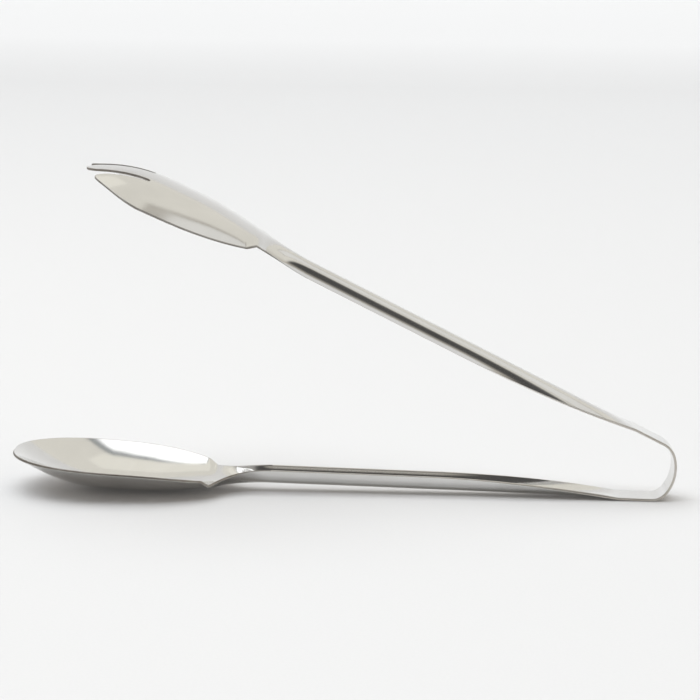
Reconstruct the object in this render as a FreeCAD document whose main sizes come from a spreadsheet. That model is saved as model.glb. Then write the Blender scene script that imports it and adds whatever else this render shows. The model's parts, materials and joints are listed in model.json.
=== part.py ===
import FreeCAD, Part
import math
import os
import Sketcher

# Serving tongs pressed from one strip of polished steel sheet: a spoon on the lower arm, a four-tined
# fork on the upper arm, a half-round channel for each stem, and a flat springy bow that joins them.
# Each section of the strip is a node of its own, cut square across, and butts its neighbours.
#
# Every arm is drawn in its own frame: x runs from the bow out to the tip, z points to the other arm,
# and z = 0 is the outer face of the flat strip, which is also the outer bottom line of the channel.

os.makedirs("parts", exist_ok=True)
doc = FreeCAD.newDocument("serving_tongs")
Vector = FreeCAD.Vector

# ---------------------------------------------------------------- driving dimensions (mm and degrees)
DIMENSIONS = [
    ("sheet", 1.0, "thickness of the steel sheet"),
    ("strip_width", 12.8, "width of the flat leaves and of the bow"),
    ("opening_angle", 25.0, "angle between the two stems when the tongs lie open"),
    ("heel_radius", 7.4, "outer radius of the bow's lower corner"),
    ("heel_turn", 53.5, "how far the strip turns in the lower corner"),
    ("back_radius", 16.3, "outer radius of the bow's gently curved back"),
    ("crown_radius", 8.7, "outer radius of the bow's upper corner"),
    ("crown_turn", 48.8, "how far the strip turns in the upper corner"),
    ("leaf_length", 12.0, "flat leaf from the bow's corner to where the strip hinges and starts to dish"),
    ("channel_start", 84.0, "distance from the bow's corner to the full channel"),
    ("rise_power", 0.55, "how early the leaf rises into the channel; 1 is even, less is earlier"),
    ("narrow_start", 30.0, "distance from the bow's corner to where the strip starts to narrow"),
    ("narrow_end", 84.0, "distance from the bow's corner to where the channel has its final width"),
    ("channel_width", 9.7, "outer width of the channel stem"),
    ("channel_depth", 5.8, "outer depth of the channel stem"),
    ("channel_wall", 0.9, "straight part of the channel's wall"),
    ("spoon_reach", 242.5, "from the bow's corner to the spoon's tip"),
    ("fork_reach", 246.0, "from the bow's corner to the tip that the fork's oval would have uncut"),
    ("bowl_width", 56.0, "widest part of spoon and fork, over the middle of the sheet"),
    ("bowl_nose", 35.0, "from the tip to the widest part"),
    ("bowl_tail", 48.8, "from the widest part to where the oval would close"),
    ("nose_power", 2.2, "fullness of the oval at the tip"),
    ("tail_power", 2.25, "fullness of the oval at the neck"),
    ("bowl_depth", 10.6, "depth of the dish at its widest part"),
    ("belly_power", 2.7, "how the depth follows the width towards the tip"),
    ("belly_run", 16.0, "from the widest part to the deepest part of the belly"),
    ("rim_rise", 3.4, "height of the tip above the line of the channel's walls"),
    ("rim_fall", 0.0465, "fall of the rim for each millimetre from the tip"),
    ("droop_start", 44.0, "from the tip to where the rim starts to droop towards the shoulder"),
    ("rim_droop", 2.0, "extra fall of the rim at the shoulder"),
    ("shoulder_at", 73.4, "from the tip to the shoulder, where the oval ends"),
    ("shoulder_run", 2.7, "from the shoulder to its low corner"),
    ("shoulder_step", 1.3, "how far the edge moves in at the low corner"),
    ("shoulder_dip", 2.0, "how far the edge falls at the low corner"),
    ("neck_length", 22.5, "from the low corner to the end of the neck"),
    ("neck_power", 3.0, "how sharply the neck narrows"),
    ("lift_power", 1.8, "how sharply the neck's edges rise"),
    ("tip_flat", 0.15, "length of the oval's tip that is ground off"),
    ("slot_pitch", 11.8, "distance between the slots of the fork"),
    ("slot_count", 3.0, "number of slots between the tines"),
    ("slot_root", 30.5, "from the uncut tip to the round root of a slot"),
    ("slot_root_width", 1.6, "width of a slot at its root"),
    ("slot_mouth_width", 4.8, "width of a slot at the level of the inner tines' ends"),
    ("inner_tip", 7.0, "from the uncut tip to the ends of the inner tines"),
    ("outer_tip", 12.0, "from the uncut tip to the ends of the outer tines"),
    ("tip_round", 5.0, "length of a tine's rounded end on the side of a slot"),
    ("flank_round", 21.0, "length over which an outer tine curves in from the oval"),
    ("nose_from_slot", 4.3, "from the outer slot to the nose of the outer tine"),
]
sheet = doc.addObject("Spreadsheet::Sheet", "sizes")
for row, (name, value, meaning) in enumerate(DIMENSIONS, start=1):
    sheet.set("A%d" % row, name)
    sheet.set("B%d" % row, str(value))
    sheet.set("C%d" % row, meaning)
    sheet.setAlias("B%d" % row, name)
doc.recompute()
size = {name: float(sheet.get(name)) for name, value, meaning in DIMENSIONS}

half_sheet = size["sheet"] / 2
leaf_half_width = size["strip_width"] / 2
stem_half_width = size["channel_width"] / 2 - half_sheet      # to the middle of the sheet
stem_height = size["channel_depth"] - half_sheet
bowl_half_width = size["bowl_width"] / 2
back_turn = 180 - size["opening_angle"] - size["heel_turn"] - size["crown_turn"]
corner_at = size["shoulder_at"] + size["shoulder_run"]
neck_end = corner_at + size["neck_length"]
ACROSS = 6                                                    # points on each half of a section
TINE_STEPS = 8                                                # points on each side of a tine's end


# ---------------------------------------------------------------- the pressed shape, as functions
def smooth(value, low, high):
    """0 below low, 1 above high, and a smooth step between."""
    part = min(max((value - low) / (high - low), 0.0), 1.0)
    return part * part * (3 - 2 * part)


def oval(from_tip):
    """Half-width of the bowl's oval: two half superellipses that meet at the widest part."""
    offset = from_tip - size["bowl_nose"]
    if offset < 0:
        share, power = -offset / size["bowl_nose"], size["nose_power"]
    else:
        share, power = offset / size["bowl_tail"], size["tail_power"]
    return bowl_half_width * max(1 - share ** power, 0.0) ** (1 / power)


def rim(from_tip):
    """Height of the bowl's rim above the outer face of the channel's floor."""
    droop_part = max(from_tip - size["droop_start"], 0) / (size["shoulder_at"] - size["droop_start"])
    fall = size["rim_fall"] * from_tip + size["rim_droop"] * droop_part ** 2
    return size["channel_depth"] + size["rim_rise"] - fall


def belly(from_tip):
    """Height of the middle of the sheet along the centre line of bowl and neck."""
    if from_tip <= size["bowl_nose"]:
        fullness = (oval(from_tip) / bowl_half_width) ** size["belly_power"]
        return rim(from_tip) - size["bowl_depth"] * fullness
    start = rim(size["bowl_nose"]) - size["bowl_depth"]
    lowest = start - size["rim_fall"] * size["belly_run"] / 2
    lowest_at = size["bowl_nose"] + size["belly_run"]
    if from_tip <= lowest_at:
        return lowest + (start - lowest) * ((lowest_at - from_tip) / size["belly_run"]) ** 2
    return lowest + (half_sheet - lowest) * smooth(from_tip, lowest_at, neck_end)


def bowl_section(from_tip):
    """Half-width, bottom height, edge height and straight wall of a section of bowl or neck."""
    bottom = belly(from_tip)
    if from_tip <= size["shoulder_at"]:
        return oval(from_tip), bottom, rim(from_tip), 0.0
    shoulder_width = oval(size["shoulder_at"])
    shoulder_height = rim(size["shoulder_at"])
    corner_width = shoulder_width - size["shoulder_step"]
    corner_height = shoulder_height - size["shoulder_dip"]
    if from_tip <= corner_at:
        part = (from_tip - size["shoulder_at"]) / size["shoulder_run"]
        width = shoulder_width + (corner_width - shoulder_width) * part
        height = shoulder_height + (corner_height - shoulder_height) * part
        return width, bottom, height, 0.0
    part = min((from_tip - corner_at) / size["neck_length"], 1.0)
    width = stem_half_width + (corner_width - stem_half_width) * (1 - part) ** size["neck_power"]
    top = half_sheet + stem_height
    height = top + (corner_height - top) * (1 - part) ** size["lift_power"]
    return width, bottom, height, size["channel_wall"] * smooth(part, 0, 1)


def leaf_section(from_bow):
    """The same four values where the flat leaf rises into the channel."""
    part = (from_bow - size["leaf_length"]) / (size["channel_start"] - size["leaf_length"])
    rise = smooth(min(max(part, 0.0), 1.0) ** size["rise_power"], 0.0, 1.0)
    narrowing = smooth(from_bow, size["narrow_start"], size["narrow_end"])
    width = leaf_half_width + (stem_half_width - leaf_half_width) * narrowing
    return width, half_sheet, half_sheet + stem_height * rise, size["channel_wall"] * rise


def section_point(values, across):
    """Point (y, z) of the middle of the sheet, across from -1 to 1: a round bottom, then a flank.

    The arc starts level at the centre line. Its radius follows from the half-width, the height of the
    edge and the length of the straight flank that touches it.
    """
    width, bottom, height, flank = values
    depth = max(height - bottom, 1e-4)
    radius = (width ** 2 + depth ** 2 - flank ** 2) / (2 * depth)
    angle = math.atan2(width, radius - depth) - math.atan2(flank, radius)
    run = abs(across) * (radius * angle + flank)
    turn = min(run / radius, angle)
    beyond = max(run - radius * angle, 0.0)
    y = radius * math.sin(turn) + beyond * math.cos(turn)
    z = radius * (1 - math.cos(turn)) + beyond * math.sin(turn)
    return math.copysign(y, across), bottom + z


def section_wire(values_at, position, sign):
    """Closed outline of the sheet's section in the plane x = position.

    Each point of the middle line is offset both ways along the section's normal, by half the sheet.
    The sheet is thicker in this upright cut where the belly slopes along the arm.
    """
    step = 0.02
    values = values_at(position)
    slope = (values[1] - values_at(position - step)[1]) / step
    offset = half_sheet * math.hypot(1, slope)
    outer, inner = [], []
    for index in range(-ACROSS, ACROSS + 1):
        across = index / ACROSS
        here = section_point(values, across)
        side_low = section_point(values, across - step)
        side_high = section_point(values, across + step)
        tangent_y, tangent_z = side_high[0] - side_low[0], side_high[1] - side_low[1]
        length = math.hypot(tangent_y, tangent_z)
        normal_y, normal_z = -tangent_z / length, tangent_y / length
        outer.append(Vector(sign * position, here[0] - offset * normal_y, here[1] - offset * normal_z))
        inner.append(Vector(sign * position, here[0] + offset * normal_y, here[1] + offset * normal_z))
    edges = []
    for points in (outer, inner[::-1]):
        curve = Part.BSplineCurve()
        curve.interpolate(points)
        edges.append(curve.toShape())
    edges.insert(1, Part.LineSegment(outer[-1], inner[-1]).toShape())
    edges.append(Part.LineSegment(inner[0], outer[0]).toShape())
    return Part.Wire(edges)


def pressed(values_at, stations, sign=1, shift=0.0):
    """Solid of the sheet lofted through sections at the given stations along the arm."""
    wires = [section_wire(values_at, station, sign) for station in stations]
    solid = Part.makeLoft(wires, True, False)
    solid.translate(Vector(shift, 0, 0))
    return solid


def spread(low, high, count):
    """Evenly spaced stations from low to high."""
    return [low + (high - low) * index / count for index in range(count + 1)]


def bowl_blank(reach):
    """Spoon-shaped solid: the dish, its shoulder and its neck, with its tip at the given reach."""
    nose = size["bowl_nose"]
    first = math.acos(1 - size["tip_flat"] / nose)
    dish = [nose * (1 - math.cos(angle)) for angle in spread(first, math.pi / 2, 12)]
    dish += spread(nose, size["shoulder_at"], 8)[1:]
    neck = [corner_at + size["neck_length"] * (index / 8) ** 1.5 for index in range(9)]
    pieces = [pressed(bowl_section, stations, -1, reach)
              for stations in (dish, [size["shoulder_at"], corner_at], neck)]
    return pieces[0].fuse(pieces[1:]).removeSplitter()


def slot_half(from_tip):
    """Half-width of a slot: it widens evenly from its root to the level of the inner tines' ends."""
    part = (size["slot_root"] - from_tip) / (size["slot_root"] - size["inner_tip"])
    return (size["slot_root_width"] + (size["slot_mouth_width"] - size["slot_root_width"]) * part) / 2


def slot_places():
    """Sideways places of the slots, evenly spaced about the centre line."""
    count = int(size["slot_count"])
    return [size["slot_pitch"] * (index - (count - 1) / 2) for index in range(count)]


def tine_points(number):
    """Outline of a tine's rounded end in plan, as (distance from the uncut tip, y), left to right.

    Each side is a quarter of an ellipse from the tine's straight side, or from the oval, to its nose.
    """
    slots = slot_places()
    is_left, is_right = number == 0, number == len(slots)
    tip = size["outer_tip"] if is_left or is_right else size["inner_tip"]
    if is_left or is_right:
        nose = math.copysign(slots[-1] + size["nose_from_slot"], number - 1)
    else:
        nose = (slots[number - 1] + slots[number]) / 2
    points = []
    for step in range(-TINE_STEPS, TINE_STEPS + 1):
        angle = math.radians(90) * (1 - abs(step) / TINE_STEPS)
        outside = is_left if step < 0 else is_right
        length = size["flank_round"] if outside else size["tip_round"]
        from_tip = tip + length * (1 - math.sin(angle))
        if outside:
            side = math.copysign(oval(from_tip) + half_sheet, step)
        elif step < 0:
            side = slots[number - 1] + slot_half(from_tip)
        else:
            side = slots[min(number, len(slots) - 1)] - slot_half(from_tip)
        points.append((from_tip, nose + (side - nose) * math.cos(angle)))
    return points


def tine_gaps(reach):
    """Everything that is punched out of the fork: the space before the tines and between them."""
    slots = slot_places()
    root_half = size["slot_root_width"] / 2
    side, front = size["bowl_width"], -size["rim_rise"]
    first = tine_points(0)[0]
    corners = [Vector(front, -side, 0), Vector(first[0], -side, 0)]
    edges = [Part.LineSegment(corners[0], corners[1]).toShape()]
    for number in range(len(slots) + 1):
        points = [Vector(from_tip, y, 0) for from_tip, y in tine_points(number)]
        edges.append(Part.LineSegment(corners[-1], points[0]).toShape())
        curve = Part.BSplineCurve()
        curve.interpolate(points)
        edges.append(curve.toShape())
        corners.append(points[-1])
        if number < len(slots):
            root = Vector(size["slot_root"], slots[number], 0)
            left, right = (root + Vector(-root_half, way * root_half, 0) for way in (-1, 1))
            edges.append(Part.LineSegment(points[-1], left).toShape())
            edges.append(Part.Arc(left, root, right).toShape())
            corners.append(right)
    for corner in (Vector(first[0], side, 0), Vector(front, side, 0), corners[0]):
        edges.append(Part.LineSegment(corners[-1], corner).toShape())
        corners.append(corner)
    outline = Part.Wire(edges)
    outline.rotate(Vector(0, 0, 0), Vector(0, 0, 1), 180)
    outline.translate(Vector(reach, 0, -size["bowl_depth"]))
    return Part.Face(outline).extrude(Vector(0, 0, 3 * size["bowl_depth"]))


# ---------------------------------------------------------------- where things stand
# The tongs lie on their belly and on the bow's heel, so the lower arm tilts by a small angle.
def lowest_point(tilt):
    """Height of the belly's outer face above the table when the lower arm is tilted by tilt."""
    heights = []
    for from_tip in spread(size["bowl_nose"], neck_end, 200):
        along, up = size["spoon_reach"] - from_tip, belly(from_tip) - half_sheet
        heights.append(along * math.sin(tilt) + up * math.cos(tilt))
    return min(heights) + size["heel_radius"] * (1 - math.cos(tilt))


low_tilt, high_tilt = 0.0, math.radians(10)
for attempt in range(60):
    middle_tilt = (low_tilt + high_tilt) / 2
    if lowest_point(middle_tilt) < 0:
        low_tilt = middle_tilt
    else:
        high_tilt = middle_tilt
tilt = (low_tilt + high_tilt) / 2


def around(centre, radius, degrees):
    """Point on a circle in the XZ plane, with degrees counted from straight down towards +X."""
    angle = math.radians(degrees)
    return centre + Vector(math.sin(angle), 0, -math.cos(angle)) * radius


tilt_degrees = math.degrees(tilt)
heel_centre = Vector(0, 0, size["heel_radius"])
heel_start = -tilt_degrees
back_start = heel_start + size["heel_turn"]
back_centre = around(heel_centre, size["heel_radius"] - size["back_radius"], back_start)
crown_start = back_start + back_turn
crown_centre = around(back_centre, size["back_radius"] - size["crown_radius"], crown_start)
crown_end = crown_start + size["crown_turn"]
heel_end = around(heel_centre, size["heel_radius"], heel_start)
crown_foot = around(crown_centre, size["crown_radius"], crown_end)

# The origin is under the middle of the whole object: half way from the spoon's tip to the back.
tip_distance = size["spoon_reach"] - size["tip_flat"]
tip_height = rim(size["tip_flat"]) - half_sheet
tip_x = heel_end.x - tip_distance * math.cos(tilt) + tip_height * math.sin(tilt)
back_x = back_centre.x + size["back_radius"]
shift = Vector(-(tip_x + back_x) / 2, 0, 0)


def arm_placement(foot, angle_degrees, upper):
    """Placement that puts an arm's own frame at its foot on the bow."""
    angle = math.radians(angle_degrees)
    along = Vector(-math.cos(angle), 0, math.sin(angle))
    if upper:
        inward = Vector(-math.sin(angle), 0, -math.cos(angle))
    else:
        inward = Vector(math.sin(angle), 0, math.cos(angle))
    sideways = inward.cross(along)
    return FreeCAD.Placement(foot + shift, FreeCAD.Rotation(along, sideways, inward, "ZXY"))


lower = arm_placement(heel_end, tilt_degrees, False)
upper = arm_placement(crown_foot, tilt_degrees + size["opening_angle"], True)


# ---------------------------------------------------------------- building the sub-parts
nodes = []


def pressed_node(name, shape, placement):
    """Document object for a pressed section, placed on its arm."""
    feature = doc.addObject("Part::Feature", name)
    feature.Label = name
    feature.Shape = shape
    feature.Placement = placement
    return feature


def channel_body(name, start, reach, placement):
    """Straight channel: a sketch of the half-round section, padded along the arm."""
    body = doc.addObject("PartDesign::Body", name)
    body.Label = name
    sketch = body.newObject("Sketcher::SketchObject", name + "_section")
    plane = [item for item in body.Origin.OriginFeatures if item.Role == "YZ_Plane"][0]
    sketch.AttachmentSupport = [(plane, "")]
    sketch.MapMode = "FlatFace"
    sketch.AttachmentOffset = FreeCAD.Placement(Vector(0, 0, start), FreeCAD.Rotation())
    outer, depth, wall = size["channel_width"] / 2, size["channel_depth"], size["sheet"]
    inner = outer - wall
    centre = Vector(0, outer, 0)
    rising = Vector(0, 0, 1)
    arcs = [sketch.addGeometry(Part.ArcOfCircle(Part.Circle(centre, rising, radius), math.pi, 2 * math.pi))
            for radius in (outer, inner)]
    sides = []
    for side in (-1, 1):
        corners = [Vector(side * outer, outer, 0), Vector(side * outer, depth, 0),
                   Vector(side * inner, depth, 0), Vector(side * inner, outer, 0)]
        sides.append([sketch.addGeometry(Part.LineSegment(corners[index], corners[index + 1]))
                      for index in range(3)])
    constraint = Sketcher.Constraint
    for number, (wall_out, land, wall_in) in enumerate(sides):
        end = number + 1
        sketch.addConstraint([
            constraint("Coincident", arcs[0], end, wall_out, 1),
            constraint("Coincident", wall_out, 2, land, 1),
            constraint("Coincident", land, 2, wall_in, 1),
            constraint("Coincident", wall_in, 2, arcs[1], end),
            constraint("Vertical", wall_out),
            constraint("Vertical", wall_in),
            constraint("Horizontal", land),
        ])
    sketch.addConstraint([
        constraint("Coincident", arcs[0], 3, arcs[1], 3),
        constraint("PointOnObject", arcs[0], 3, -2),
        constraint("Horizontal", arcs[0], 1, arcs[0], 2),
    ])
    named = [
        ("radius_out", constraint("Radius", arcs[0], outer), "sizes.channel_width / 2"),
        ("radius_in", constraint("Radius", arcs[1], inner), "sizes.channel_width / 2 - sizes.sheet"),
        ("centre_up", constraint("DistanceY", -1, 1, arcs[0], 3, outer), "sizes.channel_width / 2"),
        ("wall_top", constraint("DistanceY", -1, 1, sides[0][0], 2, depth), "sizes.channel_depth"),
        ("far_top", constraint("DistanceY", -1, 1, sides[1][0], 2, depth), "sizes.channel_depth"),
    ]
    for label, item, formula in named:
        index = sketch.addConstraint(item)
        sketch.renameConstraint(index, label)
        sketch.setExpression("Constraints." + label, formula)
    pad = body.newObject("PartDesign::Pad", name + "_length")
    pad.Profile = sketch
    spent = ("shoulder_at", "shoulder_run", "neck_length", "narrow_end")
    pad.setExpression("Length", " - ".join("sizes." + alias for alias in (reach,) + spent))
    pad.Reversed = False
    body.Placement = placement
    return body


def bend(name, radius_alias, centre, start, turn):
    """One bend of the bow: the ring between two cylinders, over the angle that the strip turns."""
    rings = []
    for suffix, less in (("out", ""), ("in", " - sizes.sheet")):
        cylinder = doc.addObject("Part::Cylinder", name + "_" + suffix)
        cylinder.setExpression("Radius", "sizes." + radius_alias + less)
        cylinder.setExpression("Height", "sizes.strip_width")
        cylinder.Angle = turn
        down = Vector(math.sin(math.radians(start)), 0, -math.cos(math.radians(start)))
        axis = Vector(0, -1, 0)
        side = axis.cross(down)
        turning = FreeCAD.Rotation(down, side, axis, "ZXY")
        base = centre + shift + Vector(0, leaf_half_width, 0)
        cylinder.Placement = FreeCAD.Placement(base, turning)
        rings.append(cylinder)
    ring = doc.addObject("Part::Cut", name)
    ring.Base, ring.Tool = rings
    return ring


def leaf(name, placement):
    """Flat stretch of strip between a corner of the bow and the arm."""
    box = doc.addObject("Part::Box", name)
    box.setExpression("Length", "sizes.leaf_length")
    box.setExpression("Width", "sizes.strip_width")
    box.setExpression("Height", "sizes.sheet")
    box.Placement = placement.multiply(FreeCAD.Placement(Vector(0, -leaf_half_width, 0), FreeCAD.Rotation()))
    return box


def joined(name, pieces):
    """Several stretches of strip as one solid."""
    fusion = doc.addObject("Part::MultiFuse", name)
    fusion.Label = name
    fusion.Shapes = pieces
    fusion.Refine = True
    return fusion


nodes.append(joined("bow_lower", [
    leaf("lower_flat", lower),
    bend("heel", "heel_radius", heel_centre, heel_start, size["heel_turn"]),
    bend("back_lower", "back_radius", back_centre, back_start, back_turn / 2),
]))
nodes.append(joined("bow_upper", [
    bend("back_upper", "back_radius", back_centre, back_start + back_turn / 2, back_turn / 2),
    bend("crown", "crown_radius", crown_centre, crown_start, size["crown_turn"]),
    leaf("upper_flat", upper),
]))
rise = spread(size["leaf_length"], size["narrow_end"], 14)
for prefix, placement, reach in (("spoon", lower, "spoon_reach"), ("fork", upper, "fork_reach")):
    nodes.append(pressed_node(prefix + "_leaf", pressed(leaf_section, rise), placement))
    nodes.append(channel_body(prefix + "_stem", size["narrow_end"], reach, placement))
nodes.append(pressed_node("spoon_bowl", bowl_blank(size["spoon_reach"]), lower))
blank = pressed_node("fork_blank", bowl_blank(size["fork_reach"]), upper)
gaps = pressed_node("fork_gaps", tine_gaps(size["fork_reach"]), upper)
head = doc.addObject("Part::Cut", "fork_head")
head.Label = "fork_head"
head.Base, head.Tool = blank, gaps
nodes.append(head)
doc.recompute()

# ---------------------------------------------------------------- checks, then one STEP file a node
for item in doc.Objects:
    if "Invalid" in item.State or "Error" in item.State:
        raise RuntimeError("failed object: " + item.Name)
for node in nodes:
    if node.Shape.isNull() or not node.Shape.isValid() or len(node.Shape.Solids) != 1:
        raise RuntimeError("bad shape: %s, solids %d" % (node.Label, len(node.Shape.Solids)))
whole = FreeCAD.BoundBox()
for node in nodes:
    node.Shape.exportStep("parts/" + node.Label + ".step")
    whole.add(node.Shape.BoundBox)
    print(node.Label, "volume", round(node.Shape.Volume, 1))
print("overall", [round(v, 3) for v in (whole.XMin, whole.XMax, whole.YMin, whole.YMax, whole.ZMin, whole.ZMax)])

# The strip bends where its inner face is cut across: at both leaves and half way round the back.
middle_back = around(back_centre, size["back_radius"] - size["sheet"], back_start + back_turn / 2) + shift
for name, spot in (("lower_leaf_flex", lower.multVec(Vector(size["leaf_length"], 0, size["sheet"]))),
                   ("back_flex", middle_back),
                   ("upper_leaf_flex", upper.multVec(Vector(size["leaf_length"], 0, size["sheet"])))):
    print(name, [round(value, 4) for value in spot])
print("tilt of the lower arm", round(tilt_degrees, 3))
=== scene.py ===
# %% [markdown]
# # Serving tongs of polished steel
# One strip of sheet steel makes the whole tool: a spoon, its channel stem, a flat springy bow, a
# second stem and a four-tined fork. The engineering model is already packed as a frame. This lesson
# gives it its looks: every stretch of the strip is worked out again as a fine surface with rounded
# edges, and polished steel, a pale floor and soft lamps are made around it.

# %% The frame
import bpy
import json
import math
import numpy as np
from mathutils import Matrix


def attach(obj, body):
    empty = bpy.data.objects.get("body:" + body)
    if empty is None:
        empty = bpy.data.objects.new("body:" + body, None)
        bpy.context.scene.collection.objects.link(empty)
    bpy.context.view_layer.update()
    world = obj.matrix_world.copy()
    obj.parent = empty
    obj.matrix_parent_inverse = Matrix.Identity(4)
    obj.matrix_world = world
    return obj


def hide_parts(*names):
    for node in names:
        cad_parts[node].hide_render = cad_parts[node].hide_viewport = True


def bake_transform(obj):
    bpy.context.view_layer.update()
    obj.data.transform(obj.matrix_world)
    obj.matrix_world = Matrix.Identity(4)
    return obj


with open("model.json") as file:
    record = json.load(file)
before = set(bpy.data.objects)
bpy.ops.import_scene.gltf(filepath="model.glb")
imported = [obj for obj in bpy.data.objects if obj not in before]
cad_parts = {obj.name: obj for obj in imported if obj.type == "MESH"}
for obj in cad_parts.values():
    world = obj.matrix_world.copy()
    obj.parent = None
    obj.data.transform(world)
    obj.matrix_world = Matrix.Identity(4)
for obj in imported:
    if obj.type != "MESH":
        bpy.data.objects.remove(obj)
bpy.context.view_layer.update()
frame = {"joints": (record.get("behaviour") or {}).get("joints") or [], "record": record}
joints = {joint["name"]: np.array(joint["pos_m"]) for joint in frame["joints"]}

# %% [markdown]
# ## Small tools
# A few things are needed again and again: an object put into the scene, a matrix from three
# directions and a place, the faces of a regular grid, vectors of length 1 and the stops of a colour
# ramp.

# %% Small tools
MM = 0.001


def added(name, data):
    """New object with its data, put into the scene."""
    thing = bpy.data.objects.new(name, data)
    bpy.context.scene.collection.objects.link(thing)
    return thing


def placed(right, up, back, place):
    """Matrix whose columns are the directions right, up and backwards, and the place."""
    axes = np.eye(4)
    axes[:3, 0], axes[:3, 1], axes[:3, 2], axes[:3, 3] = right, up, back, place
    return Matrix(axes.tolist())


def grid_faces(rows, columns):
    """Four-cornered faces between the points of a grid: (i, j), (i+1, j), (i+1, j+1), (i, j+1)."""
    index = np.arange(rows * columns).reshape(rows, columns)
    return np.stack([index[:-1, :-1], index[1:, :-1], index[1:, 1:], index[:-1, 1:]], -1).reshape(-1, 4)


def unit(vectors):
    """Vectors divided by their length, row by row."""
    return vectors / np.linalg.norm(vectors, axis=-1, keepdims=True)


def set_stops(ramp_node, stops):
    """Gives a colour ramp its stops, each a position from 0 to 1 and a colour."""
    ramp = ramp_node.color_ramp.elements
    while len(ramp) < len(stops):
        ramp.new(0.5)
    for element, (position, colour) in zip(ramp, stops):
        element.position, element.color = position, (*colour, 1)


# %% [markdown]
# ## The camera
# The tongs lie open on a table and are seen from the front, a little from above, with a long lens.
# A long lens far away keeps the two arms nearly in true proportion. The camera is placed first, by
# its position and by three angles, because everything after it is judged through it.

# %% The camera
def aimed_camera(place, azimuth, elevation, roll, lens, shift_up):
    """Camera at a place. Azimuth 0 looks along +Y, elevation looks down, all angles in degrees."""
    turn, drop, tip = (math.radians(angle) for angle in (azimuth, elevation, roll))
    back = np.array([math.sin(turn) * math.cos(drop), -math.cos(turn) * math.cos(drop), math.sin(drop)])
    right = np.cross(-back, [0, 0, 1])
    right /= np.linalg.norm(right)
    up = np.cross(back, right)
    rolled_right = right * math.cos(tip) + up * math.sin(tip)
    rolled_up = up * math.cos(tip) - right * math.sin(tip)
    data = bpy.data.cameras.new("camera")
    data.lens, data.sensor_width, data.shift_y = lens, 36.0, shift_up
    data.clip_start, data.clip_end = 0.05, 20.0
    camera = added("camera", data)
    camera.matrix_world = placed(rolled_right, rolled_up, back, place)
    return camera


camera = aimed_camera(place=(0.0255, -0.8027, 0.2020), azimuth=1.69, elevation=10.14, roll=0.77,
                      lens=111.28, shift_up=-0.0130)
bpy.context.scene.camera = camera
print("camera at", [round(v, 4) for v in camera.matrix_world.translation])

# %% [markdown]
# ## Sizes of the strip
# These are the same sizes as the engineering model's, in millimetres, so that the fine surface and
# the solid have one shape.

# %% Sizes
SHEET, STRIP_WIDTH, OPENING = 1.0, 12.8, 25.0
HEEL_RADIUS, HEEL_TURN, BACK_RADIUS, CROWN_RADIUS, CROWN_TURN = 7.4, 53.5, 16.3, 8.7, 48.8
LEAF, CHANNEL_START, RISE_POWER, NARROW_START, NARROW_END = 12.0, 84.0, 0.55, 30.0, 84.0
CHANNEL_WIDTH, CHANNEL_DEPTH, CHANNEL_WALL = 9.7, 5.8, 0.9
SPOON_REACH, FORK_REACH = 242.5, 246.0
BOWL_WIDTH, NOSE, TAIL, NOSE_POWER, TAIL_POWER = 56.0, 35.0, 48.8, 2.2, 2.25
BOWL_DEPTH, BELLY_POWER, BELLY_RUN = 10.6, 2.7, 16.0
RIM_RISE, RIM_FALL, DROOP_START, RIM_DROOP = 3.4, 0.0465, 44.0, 2.0
SHOULDER, SHOULDER_RUN, SHOULDER_STEP, SHOULDER_DIP = 73.4, 2.7, 1.3, 2.0
NECK_LENGTH, NECK_POWER, LIFT_POWER, TIP_FLAT = 22.5, 3.0, 1.8, 0.15
SLOT_PITCH, SLOT_ROOT, SLOT_ROOT_WIDTH, SLOT_MOUTH_WIDTH = 11.8, 30.5, 1.6, 4.8
INNER_TIP, OUTER_TIP, TIP_ROUND, FLANK_ROUND, NOSE_FROM_SLOT = 7.0, 12.0, 5.0, 21.0, 4.3

half_sheet = SHEET / 2
leaf_half = STRIP_WIDTH / 2
stem_half = CHANNEL_WIDTH / 2 - half_sheet
stem_height = CHANNEL_DEPTH - half_sheet
bowl_half = BOWL_WIDTH / 2
corner_at = SHOULDER + SHOULDER_RUN
neck_end = corner_at + NECK_LENGTH
bends = [(HEEL_RADIUS - half_sheet, HEEL_TURN),
         (BACK_RADIUS - half_sheet, 180 - OPENING - HEEL_TURN - CROWN_TURN),
         (CROWN_RADIUS - half_sheet, CROWN_TURN)]
bend_lengths = [radius * math.radians(turn) for radius, turn in bends]
bow_length = sum(bend_lengths)
print("strip length", round(SPOON_REACH + bow_length + FORK_REACH, 1), "mm, bow", round(bow_length, 2), "mm")

# %% [markdown]
# ## Where the two arms stand
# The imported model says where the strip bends: its hinge points lie on the inner face at the end of
# each flat leaf. The record's flat mount says how far the lower arm tilts. From these, each arm gets
# a foot on the bow, a direction along the arm and a direction inwards, towards the other arm.

# %% The frames of the arms
heel_mount = [mount for mount in frame["record"]["mounts"] if mount["name"] == "heel_flat"][0]
tilt = math.atan2(-heel_mount["axis"][0], -heel_mount["axis"][2])


def arm_frame(hinge, angle, is_upper):
    """Foot, along and inward vectors of an arm that rises by an angle towards -X."""
    along = np.array([-math.cos(angle), 0.0, math.sin(angle)])
    sense = -1.0 if is_upper else 1.0
    inward = np.array([math.sin(angle), 0.0, math.cos(angle)]) * sense
    return hinge / MM - along * LEAF - inward * SHEET, along, inward


lower = arm_frame(joints["lower_leaf_flex"], tilt, False)
upper = arm_frame(joints["upper_leaf_flex"], tilt + math.radians(OPENING), True)
print("tilt", round(math.degrees(tilt), 3), "lower foot", lower[0].round(2), "upper foot", upper[0].round(2))

# %% [markdown]
# ## The strip's section
# A press gives each cross-section of the strip a round bottom and, on the stem, short straight
# walls. Four numbers describe it: half-width, height of the bottom, height of the edge and length of
# the straight wall. They change smoothly along the strip, so each is a function of the place.

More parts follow.
